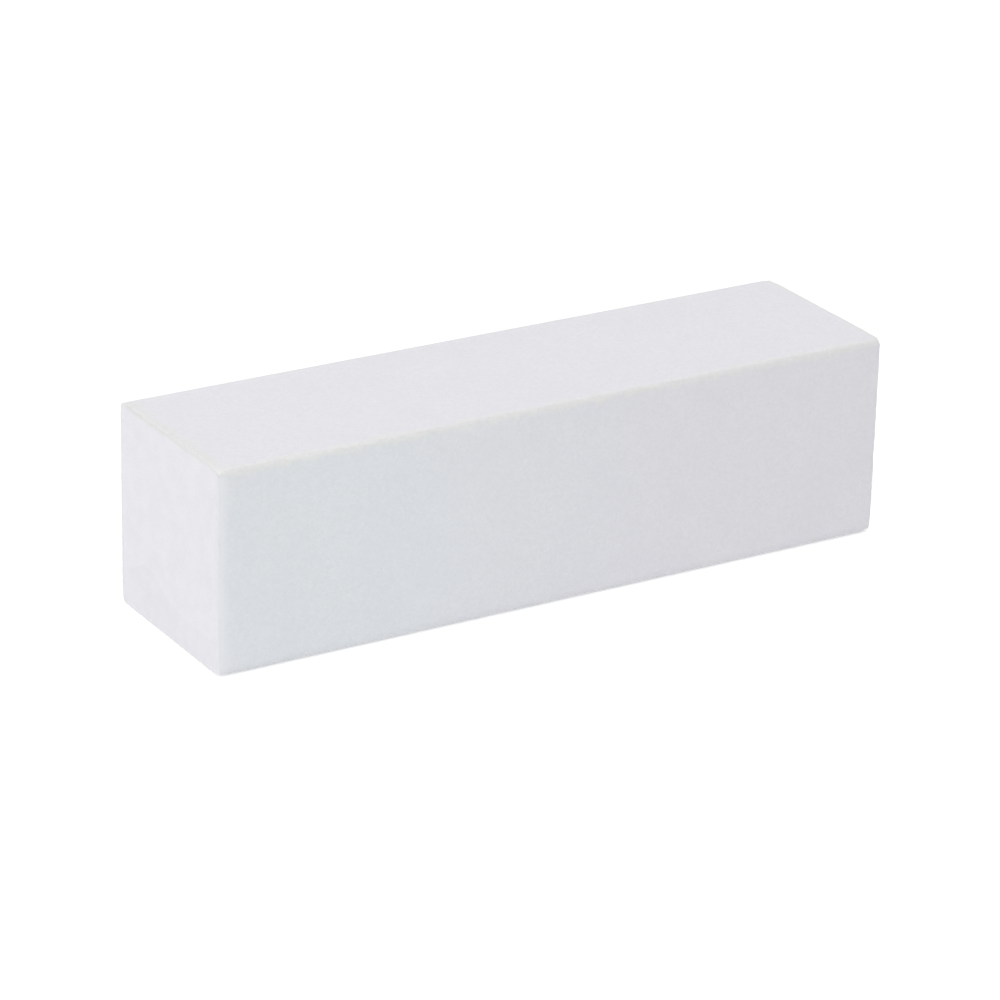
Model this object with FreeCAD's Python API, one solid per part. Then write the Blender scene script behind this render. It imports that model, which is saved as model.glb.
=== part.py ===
"""A four-sided nail buffer block, built as the real one is made.

A bar of white closed-cell foam has its long edges rounded. Each of its four long sides is brushed with a
resin bond coat and dusted with abrasive, which a second, size coat locks into a grit coat. The four sides
are coated one after another, so neighbouring coats meet in a joint half-way round each long edge. The bar
is then cut to length, which leaves the foam and both coats edge-on at both ends.

Frame: millimetres, X along the block, Z up, origin at the centre of the underside.
Every piece is bonded to its neighbours face to face. Nothing moves.
"""

import FreeCAD
import Part

import os

# Driving dimensions of the finished block, over the coats.
LENGTH = 95.0
WIDTH = 26.0
HEIGHT = 26.8
EDGE_RADIUS = 1.0  # the four long edges

# Layers, from the foam outwards.
BOND_THICKNESS = 0.10  # resin brushed on the foam
GRIT_THICKNESS = 0.20  # abrasive locked in its size coat

# Each long side's outward direction, as (y, z).
SIDES = {"top": (0, 1), "front": (-1, 0), "bottom": (0, -1), "back": (1, 0)}

CUTTER_MARGIN = 2.0  # how far the dividing prisms run past the block
TOLERANCE = 1e-6

PARTS_FOLDER = "parts"


def rounded_bar(inset):
    """The coated bar's cross-section, inset on its long sides, run over the whole length."""
    width = WIDTH - 2 * inset
    height = HEIGHT - 2 * inset
    corner = FreeCAD.Vector(-LENGTH / 2, -width / 2, inset)
    bar = Part.makeBox(LENGTH, width, height, corner)
    long_edges = [edge for edge in bar.Edges if abs(edge.Length - LENGTH) < TOLERANCE]
    return bar.makeFillet(EDGE_RADIUS - inset, long_edges)


def side_wedge(side):
    """The prism that holds one side's coats, from mitre to mitre round the long edges on either hand."""
    out_y, out_z = SIDES[side]
    start_x = -LENGTH / 2 - CUTTER_MARGIN
    past_skin = EDGE_RADIUS + CUTTER_MARGIN
    corners = []
    for hand, reach in ((-1, 0), (-1, past_skin), (1, past_skin), (1, 0)):
        y = (out_y + hand * out_z) * (WIDTH / 2 - EDGE_RADIUS + reach)
        z = (out_z - hand * out_y) * (HEIGHT / 2 - EDGE_RADIUS + reach)
        corners.append(FreeCAD.Vector(start_x, y, z + HEIGHT / 2))
    outline = Part.makePolygon(corners + corners[:1])
    return Part.Face(outline).extrude(FreeCAD.Vector(LENGTH + 2 * CUTTER_MARGIN, 0, 0))


def single_solid(shape, name):
    """The one closed solid in a boolean result."""
    shape = shape.removeSplitter()
    if len(shape.Solids) != 1:
        raise ValueError(f"{name} came out as {len(shape.Solids)} solids")
    solid = shape.Solids[0]
    if not solid.isValid() or solid.Volume <= 0:
        raise ValueError(f"{name} isn't a valid solid")
    return solid


def foam_core():
    """The foam bar inside the coats, bare at both ends."""
    return single_solid(rounded_bar(GRIT_THICKNESS + BOND_THICKNESS), "foam_core")


def side_coats(kind, outer_inset, thickness):
    """The four pieces of one layer, one for each long side."""
    layer = rounded_bar(outer_inset).cut(rounded_bar(outer_inset + thickness))
    pieces = {}
    for side in SIDES:
        name = f"{kind}_{side}"
        pieces[name] = single_solid(layer.common(side_wedge(side)), name)
    return pieces


def build():
    """Every piece of the block by its node name."""
    pieces = {"foam_core": foam_core()}
    pieces.update(side_coats("bond_coat", GRIT_THICKNESS, BOND_THICKNESS))
    pieces.update(side_coats("grit_coat", 0.0, GRIT_THICKNESS))
    return pieces


def main():
    pieces = build()
    os.makedirs(PARTS_FOLDER, exist_ok=True)
    for name, solid in sorted(pieces.items()):
        solid.exportStep(os.path.join(PARTS_FOLDER, name + ".step"))
        print(f"{name}: {solid.Volume:.2f} mm3")
    filled = sum(solid.Volume for solid in pieces.values())
    print(f"pieces {filled:.2f} mm3, whole block {rounded_bar(0.0).Volume:.2f} mm3")


main()
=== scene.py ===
import math

import bpy
import numpy as np
from mathutils import Color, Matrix, Quaternion, Vector, noise

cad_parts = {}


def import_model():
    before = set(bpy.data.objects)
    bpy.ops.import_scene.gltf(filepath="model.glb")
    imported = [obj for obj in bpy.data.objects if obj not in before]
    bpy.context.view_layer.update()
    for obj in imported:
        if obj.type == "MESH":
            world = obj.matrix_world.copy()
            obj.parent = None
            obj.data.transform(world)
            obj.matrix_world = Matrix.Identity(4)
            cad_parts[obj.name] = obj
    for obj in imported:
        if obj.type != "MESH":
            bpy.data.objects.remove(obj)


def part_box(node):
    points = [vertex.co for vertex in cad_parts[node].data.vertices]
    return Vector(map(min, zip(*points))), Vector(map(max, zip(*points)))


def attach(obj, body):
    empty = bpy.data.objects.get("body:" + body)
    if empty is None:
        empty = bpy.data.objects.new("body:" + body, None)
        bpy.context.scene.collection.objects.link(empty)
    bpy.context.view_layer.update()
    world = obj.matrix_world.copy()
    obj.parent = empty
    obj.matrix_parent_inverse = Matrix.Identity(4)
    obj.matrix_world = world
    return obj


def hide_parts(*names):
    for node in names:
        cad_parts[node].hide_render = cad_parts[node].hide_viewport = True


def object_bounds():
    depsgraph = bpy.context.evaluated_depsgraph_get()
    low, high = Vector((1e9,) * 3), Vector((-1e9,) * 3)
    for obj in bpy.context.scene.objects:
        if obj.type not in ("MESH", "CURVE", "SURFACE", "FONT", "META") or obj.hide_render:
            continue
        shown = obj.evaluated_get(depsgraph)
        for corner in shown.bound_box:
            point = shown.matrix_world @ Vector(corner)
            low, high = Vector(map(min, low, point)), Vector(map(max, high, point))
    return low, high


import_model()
CAD_LOW, CAD_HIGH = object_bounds()

# A nail buffer block: a bar of white foam, with a bond coat and a grit coat on each of its four long sides.
# Every layer follows the block's outer shape at its own depth below it, so one set of functions places them
# all. Metres, X along the block, Z up, origin at the centre of the underside.

MM = 0.001

# The frame's sizes. The top coat ends half-way round a long edge, which gives the edge's radius.
LENGTH, WIDTH, HEIGHT = CAD_HIGH - CAD_LOW
MITRE = math.radians(45)
EDGE_RADIUS = (CAD_HIGH.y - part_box("grit_coat_top")[1].y) / (1 - math.sin(MITRE))
BOND_DEPTH = CAD_HIGH.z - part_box("bond_coat_top")[1].z
FOAM_DEPTH = CAD_HIGH.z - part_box("foam_core")[1].z

# How finely the surfaces are divided.
QUICK_COARSENING = 1
PITCH = 0.18 * MM * QUICK_COARSENING
FINE_ZONE = 1.0 * MM  # at each cut end, where the stations crowd towards the edge
FINE_STEPS = 14
FINE_CROWDING = 1.5
CORNER_STEPS = 6
CUT_STEPS = 2
ROLL_STEPS = 8
MIDDLE_STEPS = 12

# The long sides in order round the block: each one's outward normal and the direction across it, as (y, z).
# X crossed with across is outward, and across points to the next side in the list.
SIDES = {
    "top": ((0, 1), (1, 0)),
    "back": ((1, 0), (0, -1)),
    "bottom": ((0, -1), (-1, 0)),
    "front": ((-1, 0), (0, 1)),
}

# How far each side rolls off at the cut ends, and how it is crowned between its long edges.
ROLL_WIDTH = 2.4 * MM
NEAR_ROLL = {"top": 0.03 * MM, "back": 0.04 * MM, "bottom": 0.02 * MM, "front": 0.40 * MM}
FAR_ROLL = {"top": 0.03 * MM, "back": 0.18 * MM, "bottom": 0.14 * MM, "front": 0.03 * MM}
NEIGHBOUR_REACH = 2.0 * MM
CROWN_WIDTH = 3.5 * MM
CROWN_DROP = 0.04 * MM

# The grit coats' relief: grains, the grit between them, and the waves of a brushed coat.
GRAIN_SIZE = 0.34 * MM
GRAIN_BREADTH = 0.8  # a grain's radius, in grain sizes
GRAIN_RELIEF = 0.075 * MM
GRAIN_LEVEL = 0.85  # the height that lies level with the plain bar, as a share of the relief
GRAIN_SHUFFLE = 7.3  # sets the heights of neighbouring grains apart
FINE_SIZE = 0.16 * MM
FINE_RELIEF = 0.022 * MM
WAVE_SIZE = 6.0 * MM
WAVE_RELIEF = 0.03 * MM

# How the rim of the top side is rubbed: pale over a width that varies from patch to patch, and smooth over
# a wider one. Down the sides, part of that paleness is a painted highlight on the turning rim. Against the
# margin at the long edges, it's wider at the near end and narrower at the far end, and narrower on the foam.
RUB_WIDTH = 1.3 * MM
RUB_CORE = 0.35  # the share of the width that's rubbed fully pale, down the sides with a painted highlight
RUB_SWAY = 0.9 * MM
RUB_PATCH = 2.2 * MM
RUB_SMOOTHING = 0.9
SMOOTH_WIDTH = 2.6 * MM
NEAR_WIDENING = 1.6
FAR_WIDENING = 0.5
FOAM_WIDENING = 0.6

# The cut edges of the grit coats: a small rounding, and chips with finer chips in them.
CUT_ROUNDING = 0.12 * MM
CUT_DROP = 0.03 * MM
CHIP_SIZE = 0.55 * MM
CHIP_WIDTH = 0.35 * MM
CHIP_DEPTH = 0.10 * MM
CHIP_REACH = 0.8 * MM
CHIP_FINENESS = 2.5
CHIP_RAGGEDNESS = 0.25
LEAST_THICKNESS = 0.15  # the share of a grit coat that's left under its deepest relief

# The cut ends: the wire's slow wander and small tears over all layers, and the foam's own cells.
WIRE_SIZE = 7.0 * MM
WIRE_RELIEF = 0.03 * MM
TEAR_SIZE = 0.5 * MM
TEAR_RELIEF = 0.008 * MM
CELL_SIZE = 0.42 * MM
CELL_BREADTH = 0.55  # a pit's radius, in cell sizes
CELL_DEPTH = 0.022 * MM
CELL_MARGIN = 0.4 * MM

# A lower patch of each cut end, a little darker and glossier: below a level, with one low bulge in it.
LOWER_PATCH_LEVEL = 4.2 * MM
LOWER_PATCH_BULGE = 3.0 * MM
LOWER_PATCH_CENTRE = 6.0 * MM
LOWER_PATCH_SPREAD = 5.0 * MM
LOWER_PATCH_BLUR = 0.2 * MM

# The materials' tones, as red, green and blue from 0 to 255. A pair holds the two ends of a range.
GRAIN_TONES = ((227.2, 226, 231.2), (231.2, 230, 235.2))
SPECK_TONE = (237, 237, 239)
CLOUD_TONE = (226, 225, 231)
# Paler down the near end's rim: partly a thinner coat, partly painted light glowing through from the cut
# end.
THIN_COAT_GLOW_TONE = (236, 234, 238)
WORN_TOP_TONES = ((226.6, 226, 226.8), (230.6, 230, 230.8))
# Down the sides the rubbed rim is paler: real wear, with a painted highlight where the rim turns over.
WORN_SIDE_HIGHLIGHT_TONES = ((230.2, 228.8, 228.8), (234.2, 232.8, 232.8))
WORN_CUT_TONE = (226, 225.4, 226.6)
BOND_TONES = ((222.5, 221.8, 221), (228.5, 227.8, 227))
FOAM_TONES = ((228.2, 227, 231.8), (230.8, 229.6, 234.6))
CELL_WALL_TONE = (237, 236, 241)
DUST_TONE = (235.5, 235, 238)
WORN_FOAM_TONE = (226, 225.6, 227.4)
# How much darker the lower patch of each cut end is.
LOWER_PATCH_SHADE = 0.972

# Where and how strongly those tones show. A span is where a smooth step starts and stops.
PATCH_SPAN = (0.35, 0.65)
SPECK_SPAN = (0.86, 0.96)
SPECK_SHARE = 0.45
CLOUD_SHARE = 0.25
# Where the near end's rim is paler: a thinner coat there, with painted light glowing through.
THIN_COAT_GLOW_SPAN = (0.2 * MM, 1.6 * MM)
THIN_COAT_GLOW_SHARE = 0.8
THIN_COAT_GLOW_DEPTHS = (0.5 * MM, 1.0 * MM)
# Where the rubbed rim turns to its paler side tones, with their painted highlight.
WORN_SIDE_HIGHLIGHT_DEPTHS = (0.1 * MM, 0.5 * MM)
# Painted shade on the underside and along its edges: where it starts and stops, and how dark.
BOTTOM_SHADE_SPAN = (0.5 * MM, 1.3 * MM)
BOTTOM_SHADE_SHARE = 0.08
CELL_WALL_SPAN = (0.02, 0.22)
CELL_WALL_SHARE = 0.3
FOAM_PATCH = 2.4 * MM
DUST_SIZE = 0.32 * MM
DUST_SPAN = (0.62, 0.7)
DUST_REACH = (0.4 * MM, 3.5 * MM)

# The surfaces' gloss, and their reliefs that are too fine for the mesh.
GRIT_ROUGHNESS = (0.92, 0.8)  # fresh, rubbed
BOND_ROUGHNESS = (0.65, 0.85)
BOND_SPAN = (0.3, 0.7)
FOAM_ROUGHNESS = (0.9, 0.7)  # cut, lower patch
DRY_SPECULAR = 0.3
GRIT_BUMP_SIZE = 0.08 * MM
GRIT_BUMP = 0.006 * MM
BOND_BUMP_SIZE = 0.48 * MM
BOND_BUMP = 0.01 * MM
FOAM_BUMP = 0.03 * MM

# The floor, in metres. Each glow is a smooth step: where it starts and stops, and its strength at each. The
# first three go by the distance from the origin, where places along X count as nearer. The foot's two go by
# the distance from the block, and are multiplied.
FLOOR_HALF = 3.0
FLOOR_SHADE = 0.9
GLOW_SQUEEZE = 0.35
NEAR_GLOW = (0.02, 0.09, 0.24, 0.17)
FAR_GLOW = (0.09, 0.6, 0.0, 0.43)
SKYLINE_GLOW = (0.5, 1.0, 0.0, 0.5)
FOOT_RISE = (-EDGE_RADIUS, EDGE_RADIUS, 0.06, 0.14)
FOOT_FALL = (0.0, 10 * MM, 1.0, 0.0)

# The height, as the sine of an angle, over which the studio's pale walls give way to its dark ceiling.
WALL_TOP = (0.08, 0.25)

# Each soft box's place from the block's centre, its size, its power in watts and its colour.
SOFT_BOXES = {
    "overhead": ((0, 0, 1.8), 3.0, 54.8, (1, 1, 1)),
    "front_left_fill": ((-0.35, -0.30, 0.15), 0.45, 0.12, (1, 1, 1)),
    "left_fill": ((-0.42, 0.02, 0.18), 0.45, 0.39, (1, 1, 1)),
    "cool_reflection": ((-0.040, -0.055, 0), 0.025, 0.0008, (0, 1, 0.65)),
}

# The camera: the point it aims at, its distance from there, its azimuth, elevation and roll in degrees, and
# its lens in millimetres.
CAMERA_AIM = Vector((-1.436, -0.932, 9.697)) * MM
CAMERA_DISTANCE = 565.32 * MM
CAMERA_TURN = (-31.496, 22.644, 1.336)
CAMERA_LENS = 161.844
SENSOR_WIDTH = 36
CLIPPING = (0.05, 50)


# ---------------------------------------------------------------- the block's outer shape


def half_sizes(side):
    """Half the block's size along a side's normal, and across the side."""
    upright = SIDES[side][0][0] == 0
    return (HEIGHT / 2, WIDTH / 2) if upright else (WIDTH / 2, HEIGHT / 2)


def flat_half(side):
    """Half the width of a side between its two roundings."""
    return half_sizes(side)[1] - EDGE_RADIUS


def across_samples(side):
    """From mitre to mitre across a side: where each sample is anchored, and how far its normal leans."""
    flat = flat_half(side)
    lean = np.arctan(np.arange(1, CORNER_STEPS + 1) / CORNER_STEPS)
    flats = np.linspace(-flat, flat, round(2 * flat / PITCH) + 1)
    anchors = np.concatenate([np.full(CORNER_STEPS, -flat), flats, np.full(CORNER_STEPS, flat)])
    leans = np.concatenate([-lean[::-1], np.zeros(len(flats)), lean])
    return anchors, leans


def skin_stations():
    """Along the block, crowded towards the cut ends."""
    zone = FINE_ZONE * np.linspace(0, 1, FINE_STEPS, endpoint=False) ** FINE_CROWDING
    middle = np.linspace(FINE_ZONE, LENGTH - FINE_ZONE, round((LENGTH - 2 * FINE_ZONE) / PITCH) + 1)
    return CAD_LOW.x + np.concatenate([zone, middle, LENGTH - zone[::-1]])


def hidden_ties(x):
    """Which stations the hidden surfaces use: enough to follow the roll-off, and few between."""
    margin = np.linspace(0, ROLL_WIDTH, ROLL_STEPS, endpoint=False)
    middle = np.linspace(ROLL_WIDTH, LENGTH - ROLL_WIDTH, MIDDLE_STEPS)
    wanted = CAD_LOW.x + np.concatenate([margin, middle, LENGTH - margin])
    return np.unique(np.abs(x[:, None] - wanted).argmin(0))


def falling(distance, width):
    """1 at an edge, falling to 0 at a width's distance from it, as a shallow arc does."""
    return np.clip(1 - distance / width, 0, 1) ** 2


def end_roll(side, anchors, rolls):
    """How far a side rolls off at a cut end. At a long edge it meets its neighbour half-way."""
    names = list(SIDES)
    turn = names.index(side)
    last_side, next_side = names[turn - 1], names[(turn + 1) % len(names)]
    at_edge = (rolls[side] + np.where(anchors > 0, rolls[next_side], rolls[last_side])) / 2
    share = falling(flat_half(side) - np.abs(anchors), NEIGHBOUR_REACH)
    return rolls[side] + (at_edge - rolls[side]) * share


def skin_drop(side, x, anchors):
    """How far the skin lies below the plain rounded bar."""
    near = end_roll(side, anchors, NEAR_ROLL) * falling(x - CAD_LOW.x, ROLL_WIDTH)
    far = end_roll(side, anchors, FAR_ROLL) * falling(CAD_HIGH.x - x, ROLL_WIDTH)
    crown = CROWN_DROP * falling(flat_half(side) - np.abs(anchors), CROWN_WIDTH)
    return near + far + crown


def layer_points(side, x, depth):
    """A grid of points over one side of a layer, x by across. Depth may differ from point to point."""
    anchors, leans = across_samples(side)
    x = np.asarray(x)[:, None]
    reach = EDGE_RADIUS - depth - skin_drop(side, x, anchors)
    normal, across = np.array(SIDES[side], float)
    along_normal = half_sizes(side)[0] - EDGE_RADIUS + reach * np.cos(leans)
    along_side = anchors + reach * np.sin(leans)
    points = np.zeros(along_normal.shape + (3,))
    points[..., 0] = x
    points[..., 1] = normal[0] * along_normal + across[0] * along_side
    points[..., 2] = normal[1] * along_normal + across[1] * along_side + HEIGHT / 2
    return points


# ---------------------------------------------------------------- relief


def sampled(function, points):
    """A function of position, at each point of an array of any shape."""
    flat = points.reshape(-1, 3)
    values = np.fromiter((function(Vector(p)) for p in flat), float, len(flat))
    return values.reshape(points.shape[:-1])


def grain_height(p):
    """One grain per cell: a blunt bump whose height differs from grain to grain."""
    distances, centres = noise.voronoi(p / GRAIN_SIZE)
    height = 0.5 + 0.5 * noise.noise(centres[0] * GRAIN_SHUFFLE)
    return height * max(0.0, 1 - (distances[0] / GRAIN_BREADTH) ** 2)


def grit_height(p):
    """Grains in their size coat, over the slow waves of a brushed layer."""
    grains = GRAIN_RELIEF * (grain_height(p) - GRAIN_LEVEL)
    return grains + FINE_RELIEF * noise.noise(p / FINE_SIZE) + WAVE_RELIEF * noise.noise(p / WAVE_SIZE)


def chip(p):
    """0 where the cut edge is whole, up to 1 where grains have broken out of it."""
    coarse = noise.noise(p / CHIP_SIZE)
    return max(0.0, coarse + CHIP_RAGGEDNESS * noise.noise(CHIP_FINENESS * p / CHIP_SIZE))


def rubbed(points):
    """How far the grains are rubbed smooth: 1 at the rim of the top side, falling to 0 further off."""
    x, y, z = np.moveaxis(points, -1, 0)
    to_end = np.minimum((x - CAD_LOW.x) / NEAR_WIDENING, (CAD_HIGH.x - x) / FAR_WIDENING)
    to_rim = np.minimum(to_end, WIDTH / 2 - np.abs(y))
    return falling(np.maximum(to_rim, HEIGHT - z), SMOOTH_WIDTH)


def grit_relief(points):
    """The grit coat's height over its smooth skin, rubbed down at the top, with rounded, chipped cuts."""
    height = sampled(grit_height, points) * (1 - RUB_SMOOTHING * rubbed(points))
    from_end = np.minimum(points[..., 0] - CAD_LOW.x, CAD_HIGH.x - points[..., 0])
    edge = from_end < CHIP_REACH
    height[edge] -= CHIP_DEPTH * np.exp(-((from_end[edge] / CHIP_WIDTH) ** 2)) * sampled(chip, points[edge])
    short = np.clip(1 - from_end / CUT_ROUNDING, 0, 1)
    height -= CUT_DROP * (1 - np.sqrt(1 - short**2))
    return np.maximum(height, (LEAST_THICKNESS - 1) * BOND_DEPTH)


def cell_pit(p):
    """A shallow pit in the middle of each cut foam cell."""
    distances, _ = noise.voronoi(p / CELL_SIZE)
    return CELL_DEPTH * max(0.0, 1 - distances[0] / CELL_BREADTH)


def wander(p):
    """How far the cut strays from flat. Every layer shares it."""
    return WIRE_RELIEF * noise.noise(p / WIRE_SIZE) + TEAR_RELIEF * noise.noise(p / TEAR_SIZE)


# ---------------------------------------------------------------- meshes


def new_piece(name, grids, faces, material):
    """An object whose vertices are those of all the grids, one grid after another."""
    mesh = bpy.data.meshes.new(name)
    mesh.from_pydata(np.vstack([grid.reshape(-1, 3) for grid in grids]), [], faces)
    mesh.validate()
    mesh.shade_smooth()
    mesh.materials.append(material)
    piece = bpy.data.objects.new(name, mesh)
    bpy.context.scene.collection.objects.link(piece)
    return piece


def numbered(grids):
    """The vertex numbers of each grid of points, when the grids follow one another."""
    sizes = [grid[..., 0].size for grid in grids]
    starts = np.cumsum([0] + sizes[:-1])
    return [np.arange(start, start + size).reshape(grid.shape[:-1])
            for grid, start, size in zip(grids, starts, sizes)]


def grid_faces(ids):
    """Quads over a grid of vertex numbers. Rows crossed with columns face outwards."""
    return np.stack([ids[:-1, :-1], ids[1:, :-1], ids[1:, 1:], ids[:-1, 1:]], -1).reshape(-1, 4).tolist()


def mitre_faces(skin_edge, under_edge, ties, near_cut, far_cut):
    """The flat strip where two neighbouring coats meet, one many-sided face between each pair of ties."""
    faces = []
    for start, stop, low_start, low_stop in zip(ties, ties[1:], under_edge, under_edge[1:]):
        ring = list(skin_edge[start : stop + 1])
        if stop == ties[-1]:
            ring += list(far_cut)
        ring += [low_stop, low_start]
        if start == ties[0]:
            ring += list(near_cut)
        faces.append([int(vertex) for vertex in ring])
    return faces


def shell(name, skin, underside, ties, material):
    """A closed coat from two grids of points: its skin, and its underside at the tied stations only."""
    for grid in (skin, underside):
        for row in (grid[0], grid[-1]):
            row[:, 0] += sampled(wander, row)
    steps = [step / (CUT_STEPS + 1) for step in range(1, CUT_STEPS + 1)]
    near_cut = np.stack([underside[0] + (skin[0] - underside[0]) * step for step in steps])
    far_cut = np.stack([skin[-1] + (underside[-1] - skin[-1]) * step for step in steps])
    grids = [skin, underside, near_cut, far_cut]
    skin_ids, under_ids, near_ids, far_ids = numbered(grids)
    faces = grid_faces(skin_ids) + grid_faces(under_ids[:, ::-1])
    faces += grid_faces(np.vstack([under_ids[:1], near_ids, skin_ids[:1]]))
    faces += grid_faces(np.vstack([skin_ids[-1:], far_ids, under_ids[-1:]]))
    first, last = [
        mitre_faces(skin_ids[:, column], under_ids[:, column], ties,
                    near_ids[:, column], far_ids[:, column])
        for column in (0, -1)
    ]
    faces += [face[::-1] for face in first] + last
    return new_piece(name, grids, faces, material)


def grit_coat(side, material):
    """The grit coat of one side, with its relief on its skin."""
    x = skin_stations()
    ties = hidden_ties(x)
    relief = grit_relief(layer_points(side, x, 0))
    return shell(f"grit_{side}", layer_points(side, x, -relief), layer_points(side, x[ties], BOND_DEPTH),
                 ties, material)


def bond_coat(side, material):
    """The bond coat of one side, between the grit and the foam."""
    x = skin_stations()
    x = x[hidden_ties(x)]
    return shell(f"bond_{side}", layer_points(side, x, BOND_DEPTH), layer_points(side, x, FOAM_DEPTH),
                 range(len(x)), material)


def end_face(x):
    """A grid over the foam's cut end, y by z, drawn between the four edges of the end."""
    top, back, bottom, front = [layer_points(side, [x], FOAM_DEPTH)[0] for side in SIDES]
    low, high, left, right = bottom[::-1, None], top[:, None], front[None], back[None, ::-1]
    y = (high[..., 1:2] - high[0, 0, 1]) / (high[-1, 0, 1] - high[0, 0, 1])
    z = (left[..., 2:] - left[0, 0, 2]) / (left[0, -1, 2] - left[0, 0, 2])
    corners = (1 - y) * (1 - z) * low[0] + y * (1 - z) * low[-1] + (1 - y) * z * high[0] + y * z * high[-1]
    return (1 - z) * low + z * high + (1 - y) * left + y * right - corners


def cut_foam(x, inward):
    """The foam's end as cut: the wire's wander, and pits where it opened cells, except at the very rim."""
    grid = end_face(x)
    from_rim = np.minimum(WIDTH / 2 - np.abs(grid[..., 1]), HEIGHT / 2 - np.abs(grid[..., 2] - HEIGHT / 2))
    share = np.clip((from_rim - FOAM_DEPTH) / CELL_MARGIN - 1, 0, 1)
    grid[..., 0] += sampled(wander, grid) + inward * share * sampled(cell_pit, grid)
    return grid


def rim_ring(ids):
    """The vertices round the rim of an end: along the top, down the back, along the bottom, up the front."""
    return np.concatenate([ids[:-1, -1], ids[-1, :0:-1], ids[:0:-1, 0], ids[0, :-1]])


def foam_bar(material):
    """The foam as one closed mesh: a plain tube under the coats, and a detailed cut face at each end."""
    x = skin_stations()
    x = x[hidden_ties(x)][1:-1]
    tube = np.concatenate([layer_points(side, x, FOAM_DEPTH)[:, :-1] for side in SIDES], 1)
    grids = [cut_foam(CAD_LOW.x, 1), cut_foam(CAD_HIGH.x, -1), tube]
    near_ids, far_ids, tube_ids = numbered(grids)
    rings = np.vstack([rim_ring(near_ids), tube_ids, rim_ring(far_ids)])
    rings = np.hstack([rings, rings[:, :1]])
    faces = grid_faces(near_ids[:, ::-1]) + grid_faces(far_ids) + grid_faces(rings)
    return new_piece("foam_bar", grids, faces, material)


# ---------------------------------------------------------------- materials


def srgb(tone):
    """A tone as a shader's linear colour."""
    return (*Color([part / 255 for part in tone]).from_srgb_to_scene_linear(), 1.0)


def node_material(name):
    """A material with only a shader in it, its node tree, and that shader."""
    material = bpy.data.materials.new(name)
    material.use_nodes = True
    tree = material.node_tree
    tree.nodes.clear()
    shader = tree.nodes.new("ShaderNodeBsdfPrincipled")
    output = tree.nodes.new("ShaderNodeOutputMaterial")
    tree.links.new(shader.outputs[0], output.inputs[0])
    return material, tree, shader


def fill_inputs(tree, made, inputs):
    """Link or set a node's inputs, each by its name or number."""
    for key, value in inputs.items():
        if isinstance(value, bpy.types.NodeSocket):
            tree.links.new(value, made.inputs[key])
        else:
            made.inputs[key].default_value = value


def node(tree, kind, inputs, **settings):
    """A new node, with its settings made and its inputs filled."""
    made = tree.nodes.new(kind)
    for key, value in settings.items():
        setattr(made, key, value)
    fill_inputs(tree, made, inputs)
    return made


def calc(tree, operation, *values):
    """The result of a maths operation on sockets or numbers."""
    return node(tree, "ShaderNodeMath", dict(enumerate(values)), operation=operation).outputs[0]


def ramp(tree, value, start, stop, to_start=0.0, to_stop=1.0):
    """A smooth step: to_start up to start, to_stop from stop on."""
    ends = {"From Min": start, "From Max": stop, "To Min": to_start, "To Max": to_stop}
    step = node(tree, "ShaderNodeMapRange", {"Value": value, **ends}, interpolation_type="SMOOTHSTEP")
    return step.outputs[0]


def blend(tree, share, first, second, mode="MIX"):
    """A mix of two colours, each a socket or a value."""
    inputs = {0: share, 6: first, 7: second}
    return node(tree, "ShaderNodeMix", inputs, data_type="RGBA", blend_type=mode).outputs[2]


def between(tree, share, tones):
    """A mix of a pair of tones."""
    return blend(tree, share, srgb(tones[0]), srgb(tones[1]))


def cloud(tree, place, size, detail=2.0):
    """Soft noise from 0 to 1."""
    inputs = {"Vector": place, "Scale": 1 / size, "Detail": detail}
    return node(tree, "ShaderNodeTexNoise", inputs).outputs[0]


def cells(tree, place, size, feature="F1"):
    """A pattern of irregular cells, all about this size."""
    return node(tree, "ShaderNodeTexVoronoi", {"Vector": place, "Scale": 1 / size}, feature=feature)


def cell_tone(tree, place, size):
    """One random value from 0 to 1 for each cell."""
    return node(tree, "ShaderNodeSeparateColor", {0: cells(tree, place, size).outputs["Color"]}).outputs[0]


def object_place(tree):
    """Where a point is in the block's own frame."""
    return node(tree, "ShaderNodeTexCoord", {}).outputs["Object"]


def coordinates(tree, place):
    """A place's x, y and z."""
    return node(tree, "ShaderNodeSeparateXYZ", {0: place}).outputs


def bumped(tree, height, depth):
    """A normal for a relief this deep, in metres, that's too fine for the mesh."""
    return node(tree, "ShaderNodeBump", {"Height": height, "Distance": depth}).outputs[0]


def inside(tree, half, offset):
    """How far a point is inside a slab, from its offset from the slab's middle."""
    return calc(tree, "SUBTRACT", half, calc(tree, "ABSOLUTE", offset))


def below_top(tree, place, start, stop):
    """0 down to one depth below the top, 1 from another depth on."""
    _, _, z = coordinates(tree, place)
    return ramp(tree, calc(tree, "SUBTRACT", HEIGHT, z), start, stop)


def rub_mask(tree, place, widening=1.0):
    """1 where the rim of the top side is rubbed pale, wider in some patches than in others. On the grit, the
    paler tone down the sides is partly a painted highlight.
    """
    x, y, z = coordinates(tree, place)
    near = calc(tree, "DIVIDE", calc(tree, "SUBTRACT", x, CAD_LOW.x), NEAR_WIDENING)
    far = calc(tree, "DIVIDE", calc(tree, "SUBTRACT", CAD_HIGH.x, x), FAR_WIDENING)
    to_rim = calc(tree, "MINIMUM", calc(tree, "MINIMUM", near, far), inside(tree, WIDTH / 2, y))
    distance = calc(tree, "MAXIMUM", to_rim, calc(tree, "SUBTRACT", HEIGHT, z))
    width = RUB_WIDTH * widening
    sway = RUB_SWAY * widening
    shift = calc(tree, "MULTIPLY_ADD", cloud(tree, place, RUB_PATCH, 3.0), 2 * sway, -sway)
    return ramp(tree, calc(tree, "ADD", distance, shift), RUB_CORE * width, width, 1.0, 0.0)


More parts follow.
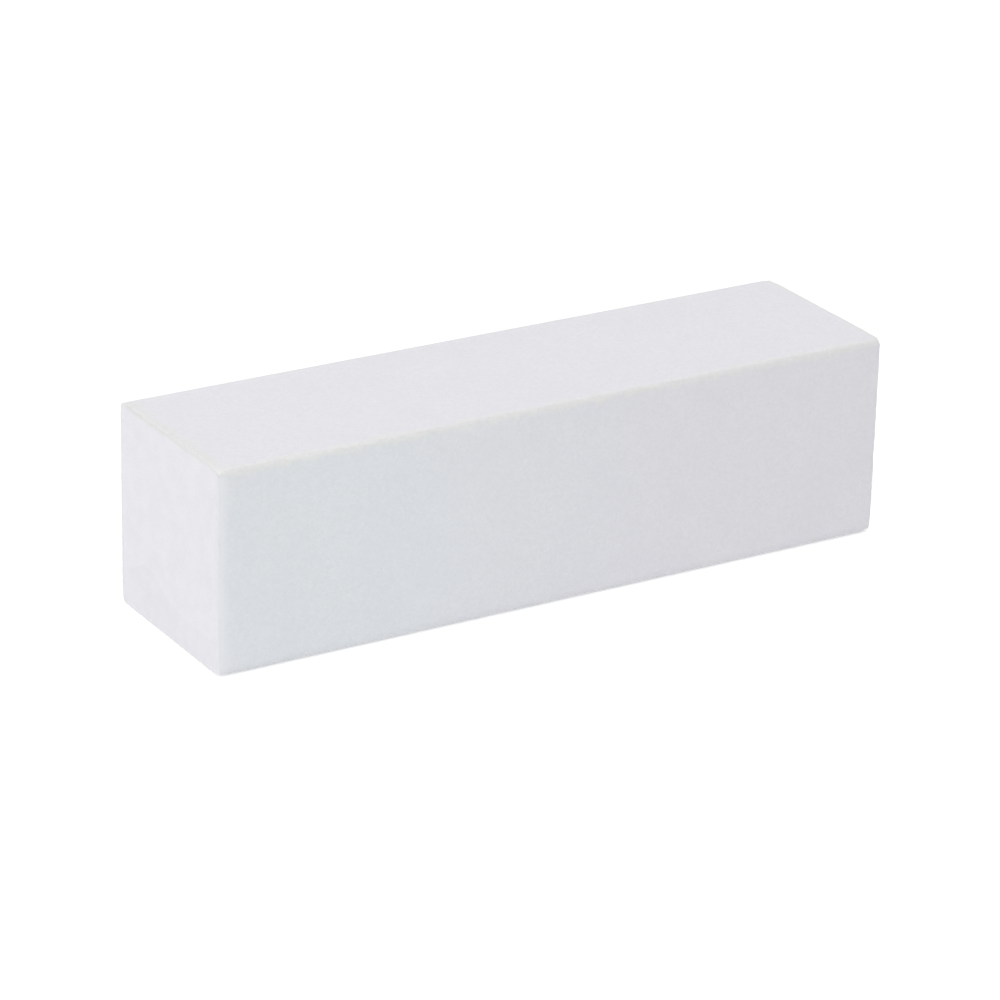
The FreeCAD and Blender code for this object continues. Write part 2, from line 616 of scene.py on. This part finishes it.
def thin_coat_glow_mask(tree, place):
    """Strong down the near end's rim, where the coat thins out over the roll-off and painted light glows
    through from the cut end, and nothing beyond.
    """
    x, _, _ = coordinates(tree, place)
    near_rim = ramp(tree, calc(tree, "SUBTRACT", x, CAD_LOW.x), *THIN_COAT_GLOW_SPAN, THIN_COAT_GLOW_SHARE, 0.0)
    return calc(tree, "MULTIPLY", near_rim, below_top(tree, place, *THIN_COAT_GLOW_DEPTHS))


def cut_mask(tree, place):
    """1 on the cut ends of a coat, 0 on its skin."""
    x, _, _ = coordinates(tree, place)
    return ramp(tree, inside(tree, LENGTH / 2, x), CUT_ROUNDING / 4, CUT_ROUNDING, 1.0, 0.0)


def painted_bottom_shade(tree, place, colour):
    """A colour made a touch greyer and darker on the underside and its edges: painted shade where they face
    the floor.
    """
    _, _, z = coordinates(tree, place)
    return blend(tree, ramp(tree, z, *BOTTOM_SHADE_SPAN, BOTTOM_SHADE_SHARE, 0.0), colour, (0, 0, 0, 1))


def grain_colour(tree, place, shade):
    """Each grain its own shade, with bright specks, in faint clouds, and paler down the near end's rim: a
    thinner coat, and painted light glowing through.
    """
    specks = ramp(tree, cell_tone(tree, place, FINE_SIZE), *SPECK_SPAN, 0.0, SPECK_SHARE)
    specked = blend(tree, specks, between(tree, shade, GRAIN_TONES), srgb(SPECK_TONE))
    clouds = ramp(tree, cloud(tree, place, WAVE_SIZE), *PATCH_SPAN, 0.0, CLOUD_SHARE)
    clouded = blend(tree, clouds, specked, srgb(CLOUD_TONE))
    return blend(tree, thin_coat_glow_mask(tree, place), clouded, srgb(THIN_COAT_GLOW_TONE))


def worn_colour_with_highlight(tree, place, shade):
    """Cream wear, paler down the sides than on the top: there the paleness is a painted highlight on the
    turning rim.
    """
    share = below_top(tree, place, *WORN_SIDE_HIGHLIGHT_DEPTHS)
    return blend(tree, share, between(tree, shade, WORN_TOP_TONES), between(tree, shade, WORN_SIDE_HIGHLIGHT_TONES))


def grit_material():
    """White abrasive in a cool white size coat, cream where it's rubbed, with a painted highlight down the
    sides of the rubbed rim and painted shade along the bottom.
    """
    material, tree, shader = node_material("white_grit")
    place = object_place(tree)
    shade = cell_tone(tree, place, GRAIN_SIZE)
    grains = grain_colour(tree, place, shade)
    rub = rub_mask(tree, place)
    # The grains get painted shade along the bottom; the rubbed rim a painted highlight down the sides.
    skin = blend(tree, rub, painted_bottom_shade(tree, place, grains), worn_colour_with_highlight(tree, place, shade))
    cut = blend(tree, rub, grains, srgb(WORN_CUT_TONE))
    fill_inputs(tree, shader, {
        "Base Color": blend(tree, cut_mask(tree, place), skin, cut),
        "Roughness": ramp(tree, rub, 0.0, 1.0, *GRIT_ROUGHNESS),
        "Specular IOR Level": DRY_SPECULAR,
        "Normal": bumped(tree, cloud(tree, place, GRIT_BUMP_SIZE, 3.0), GRIT_BUMP),
    })
    return material


def bond_material():
    """Cream resin, a little uneven where the blade cut it."""
    material, tree, shader = node_material("cream_bond")
    uneven = cloud(tree, object_place(tree), BOND_BUMP_SIZE, 3.0)
    fill_inputs(tree, shader, {
        "Base Color": between(tree, uneven, BOND_TONES),
        "Roughness": ramp(tree, uneven, *BOND_SPAN, *BOND_ROUGHNESS),
        "Normal": bumped(tree, uneven, BOND_BUMP),
    })
    return material


def lower_patch_mask(tree, place):
    """1 on the lower patch of a cut end, below a ragged, bulging line."""
    _, y, z = coordinates(tree, place)
    offset = calc(tree, "DIVIDE", calc(tree, "SUBTRACT", y, LOWER_PATCH_CENTRE), LOWER_PATCH_SPREAD)
    bulge = calc(tree, "EXPONENT", calc(tree, "MULTIPLY", calc(tree, "MULTIPLY", offset, offset), -1.0))
    level = calc(tree, "MULTIPLY_ADD", bulge, LOWER_PATCH_BULGE, LOWER_PATCH_LEVEL)
    above = calc(tree, "SUBTRACT", z, level)
    ragged = calc(tree, "MULTIPLY_ADD", cloud(tree, place, TEAR_SIZE), LOWER_PATCH_BLUR * 2, above)
    return ramp(tree, ragged, 0.0, LOWER_PATCH_BLUR * 2, 1.0, 0.0)


def dust_mask(tree, place):
    """Flecks of abrasive dust on a cut end, thickest near its rim."""
    _, y, z = coordinates(tree, place)
    from_middle = calc(tree, "SUBTRACT", z, HEIGHT / 2)
    from_rim = calc(tree, "MINIMUM", inside(tree, WIDTH / 2, y), inside(tree, HEIGHT / 2, from_middle))
    flecks = ramp(tree, cloud(tree, place, DUST_SIZE, 1.0), *DUST_SPAN)
    return calc(tree, "MULTIPLY", ramp(tree, from_rim, *DUST_REACH, 1.0, 0.0), flecks)


def foam_material():
    """Fine closed cells cut open, faint mottling, abrasive dust near the rim, and a darker, glossier lower
    patch.
    """
    material, tree, shader = node_material("cut_foam")
    place = object_place(tree)
    to_wall = cells(tree, place, CELL_SIZE, "DISTANCE_TO_EDGE").outputs["Distance"]
    patches = ramp(tree, cloud(tree, place, FOAM_PATCH), *PATCH_SPAN)
    walls = ramp(tree, to_wall, *CELL_WALL_SPAN, CELL_WALL_SHARE, 0.0)
    celled = blend(tree, walls, between(tree, patches, FOAM_TONES), srgb(CELL_WALL_TONE))
    dusted = blend(tree, dust_mask(tree, place), celled, srgb(DUST_TONE))
    rub = rub_mask(tree, place, FOAM_WIDENING)
    worn = blend(tree, rub, dusted, srgb(WORN_FOAM_TONE))
    lower_patch = lower_patch_mask(tree, place)
    shade = blend(tree, lower_patch, (1, 1, 1, 1), (LOWER_PATCH_SHADE, LOWER_PATCH_SHADE, LOWER_PATCH_SHADE, 1))
    fill_inputs(tree, shader, {
        "Base Color": blend(tree, 1.0, worn, shade, "MULTIPLY"),
        "Roughness": ramp(tree, lower_patch, 0.0, 1.0, *FOAM_ROUGHNESS),
        "Specular IOR Level": DRY_SPECULAR,
        "Normal": bumped(tree, to_wall, FOAM_BUMP),
    })
    return material


# ---------------------------------------------------------------- stage


def wide_glow(tree, place):
    """Strongest round the block, fading just beyond it, and rising again far away."""
    squeeze = (GLOW_SQUEEZE, 1.0, 1.0)
    squeezed = node(tree, "ShaderNodeVectorMath", {0: place, 1: squeeze}, operation="MULTIPLY").outputs[0]
    distance = node(tree, "ShaderNodeVectorMath", {0: squeezed}, operation="LENGTH").outputs["Value"]
    far_glow = calc(tree, "ADD", ramp(tree, distance, *FAR_GLOW), ramp(tree, distance, *SKYLINE_GLOW))
    return calc(tree, "ADD", ramp(tree, distance, *NEAR_GLOW), far_glow)


def foot_glow(tree, place):
    """A band of glow close round the block's foot, weaker where the block touches the floor."""
    x, y, _ = coordinates(tree, place)
    off_end = calc(tree, "SUBTRACT", calc(tree, "ABSOLUTE", x), LENGTH / 2)
    off_side = calc(tree, "SUBTRACT", calc(tree, "ABSOLUTE", y), WIDTH / 2)
    off_block = calc(tree, "MAXIMUM", off_end, off_side)
    return calc(tree, "MULTIPLY", ramp(tree, off_block, *FOOT_RISE), ramp(tree, off_block, *FOOT_FALL))


def floor():
    """A plain pale floor that glows a little, as a backdrop lit from below does."""
    mesh = bpy.data.meshes.new("floor")
    corners = [(-1, -1), (1, -1), (1, 1), (-1, 1)]
    mesh.from_pydata([(x * FLOOR_HALF, y * FLOOR_HALF, 0) for x, y in corners], [], [(0, 1, 2, 3)])
    material, tree, shader = node_material("pale_floor")
    place = object_place(tree)
    fill_inputs(tree, shader, {
        "Base Color": (FLOOR_SHADE, FLOOR_SHADE, FLOOR_SHADE, 1),
        "Roughness": 1.0,
        "Specular IOR Level": 0.0,
        "Emission Color": (1, 1, 1, 1),
        "Emission Strength": calc(tree, "ADD", wide_glow(tree, place), foot_glow(tree, place)),
    })
    mesh.materials.append(material)
    piece = bpy.data.objects.new("floor", mesh)
    bpy.context.scene.collection.objects.link(piece)


def world():
    """A studio's pale walls, and a dark ceiling that leaves the light to the soft boxes."""
    made = bpy.data.worlds.new("studio")
    made.use_nodes = True
    tree = made.node_tree
    tree.nodes.clear()
    direction = node(tree, "ShaderNodeTexCoord", {}).outputs["Generated"]
    _, _, height = coordinates(tree, direction)
    strength = ramp(tree, height, *WALL_TOP, 1.0, 0.0)
    background = node(tree, "ShaderNodeBackground", {"Color": (1, 1, 1, 1), "Strength": strength})
    node(tree, "ShaderNodeOutputWorld", {0: background.outputs[0]})
    bpy.context.scene.world = made


def soft_box(name, place, size, power, colour):
    """A square soft box, placed from the block's centre and turned towards it."""
    light = bpy.data.lights.new(name, "AREA")
    light.shape = "SQUARE"
    light.size = size
    light.energy = power
    light.color = colour
    lamp = bpy.data.objects.new(name, light)
    lamp.location = Vector(place) + Vector((0, 0, HEIGHT / 2))
    lamp.rotation_mode = "QUATERNION"
    lamp.rotation_quaternion = (-Vector(place)).to_track_quat("-Z", "Y")
    lamp.visible_camera = False
    bpy.context.scene.collection.objects.link(lamp)


def camera():
    """A camera that looks at its aim. Its azimuth is counted from the front round towards +X."""
    azimuth, elevation, roll = map(math.radians, CAMERA_TURN)
    level = math.cos(elevation)
    back = Vector((math.sin(azimuth) * level, -math.cos(azimuth) * level, math.sin(elevation)))
    data = bpy.data.cameras.new("camera")
    data.lens = CAMERA_LENS
    data.sensor_width = SENSOR_WIDTH
    data.clip_start, data.clip_end = CLIPPING
    eye = bpy.data.objects.new("camera", data)
    eye.location = CAMERA_AIM + back * CAMERA_DISTANCE
    eye.rotation_mode = "QUATERNION"
    eye.rotation_quaternion = (-back).to_track_quat("-Z", "Y") @ Quaternion((0, 0, 1), roll)
    bpy.context.scene.collection.objects.link(eye)
    bpy.context.scene.camera = eye


def build():
    """Every piece of the block, each in the place of its CAD node."""
    grit, bond, foam = grit_material(), bond_material(), foam_material()
    for side in SIDES:
        skin = grit_coat(side, grit)
        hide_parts(f"grit_coat_{side}")
        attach(skin, "root")
        under = bond_coat(side, bond)
        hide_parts(f"bond_coat_{side}")
        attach(under, "root")
    core = foam_bar(foam)
    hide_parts("foam_core")
    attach(core, "root")


build()
floor()
world()
for name, settings in SOFT_BOXES.items():
    soft_box(name, *settings)
camera()
bpy.context.scene.view_settings.view_transform = "Standard"
